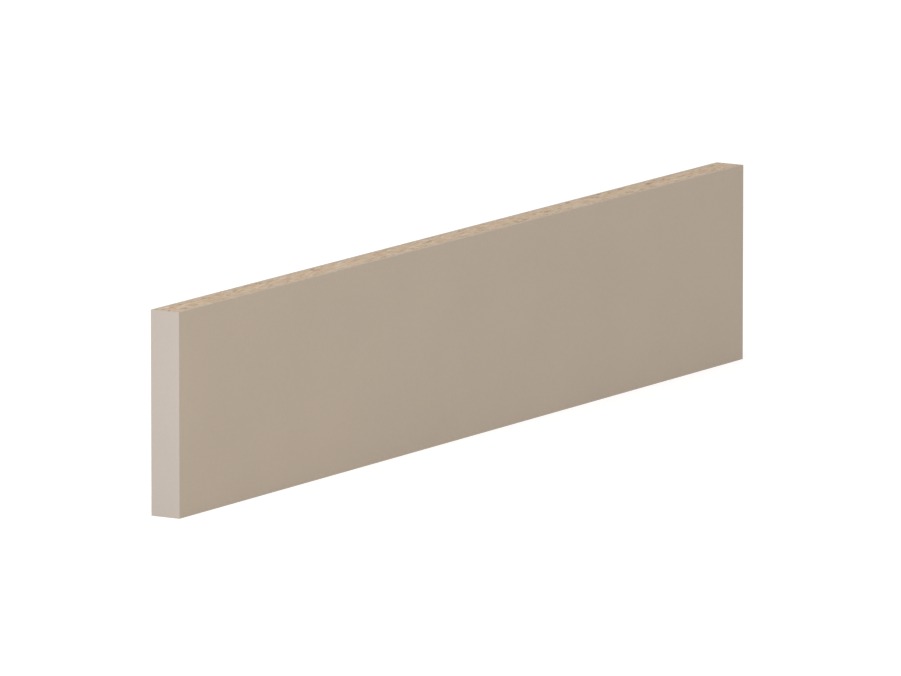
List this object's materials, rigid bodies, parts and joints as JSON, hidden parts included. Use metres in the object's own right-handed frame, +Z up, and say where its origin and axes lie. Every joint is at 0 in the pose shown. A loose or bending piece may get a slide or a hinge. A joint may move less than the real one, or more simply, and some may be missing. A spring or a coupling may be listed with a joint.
{
  "type": "cabinet plinth board",
  "caption": "Straight plinth board of faced chipboard with banded ends and raw long edges, which closes the gap under a floor cabinet.",
  "frame": {"origin": "middle of the lower long edge that the board stands on", "axes": "+X along the board to the right, -Y out of the front face, +Z up"},
  "size_m": [0.53, 0.016, 0.1],
  "materials": {
    "chipboard": "raw sawn edge of pressed chips",
    "decor_facing": "satin resin facing in plain grey-beige",
    "end_band": "satin plastic band in grey-beige"
  },
  "bodies": {
    "root": {"chipboard_core": "chipboard", "front_facing": "decor_facing", "back_facing": "decor_facing", "left_end_band": "end_band", "right_end_band": "end_band"}
  },
  "joints": []
}
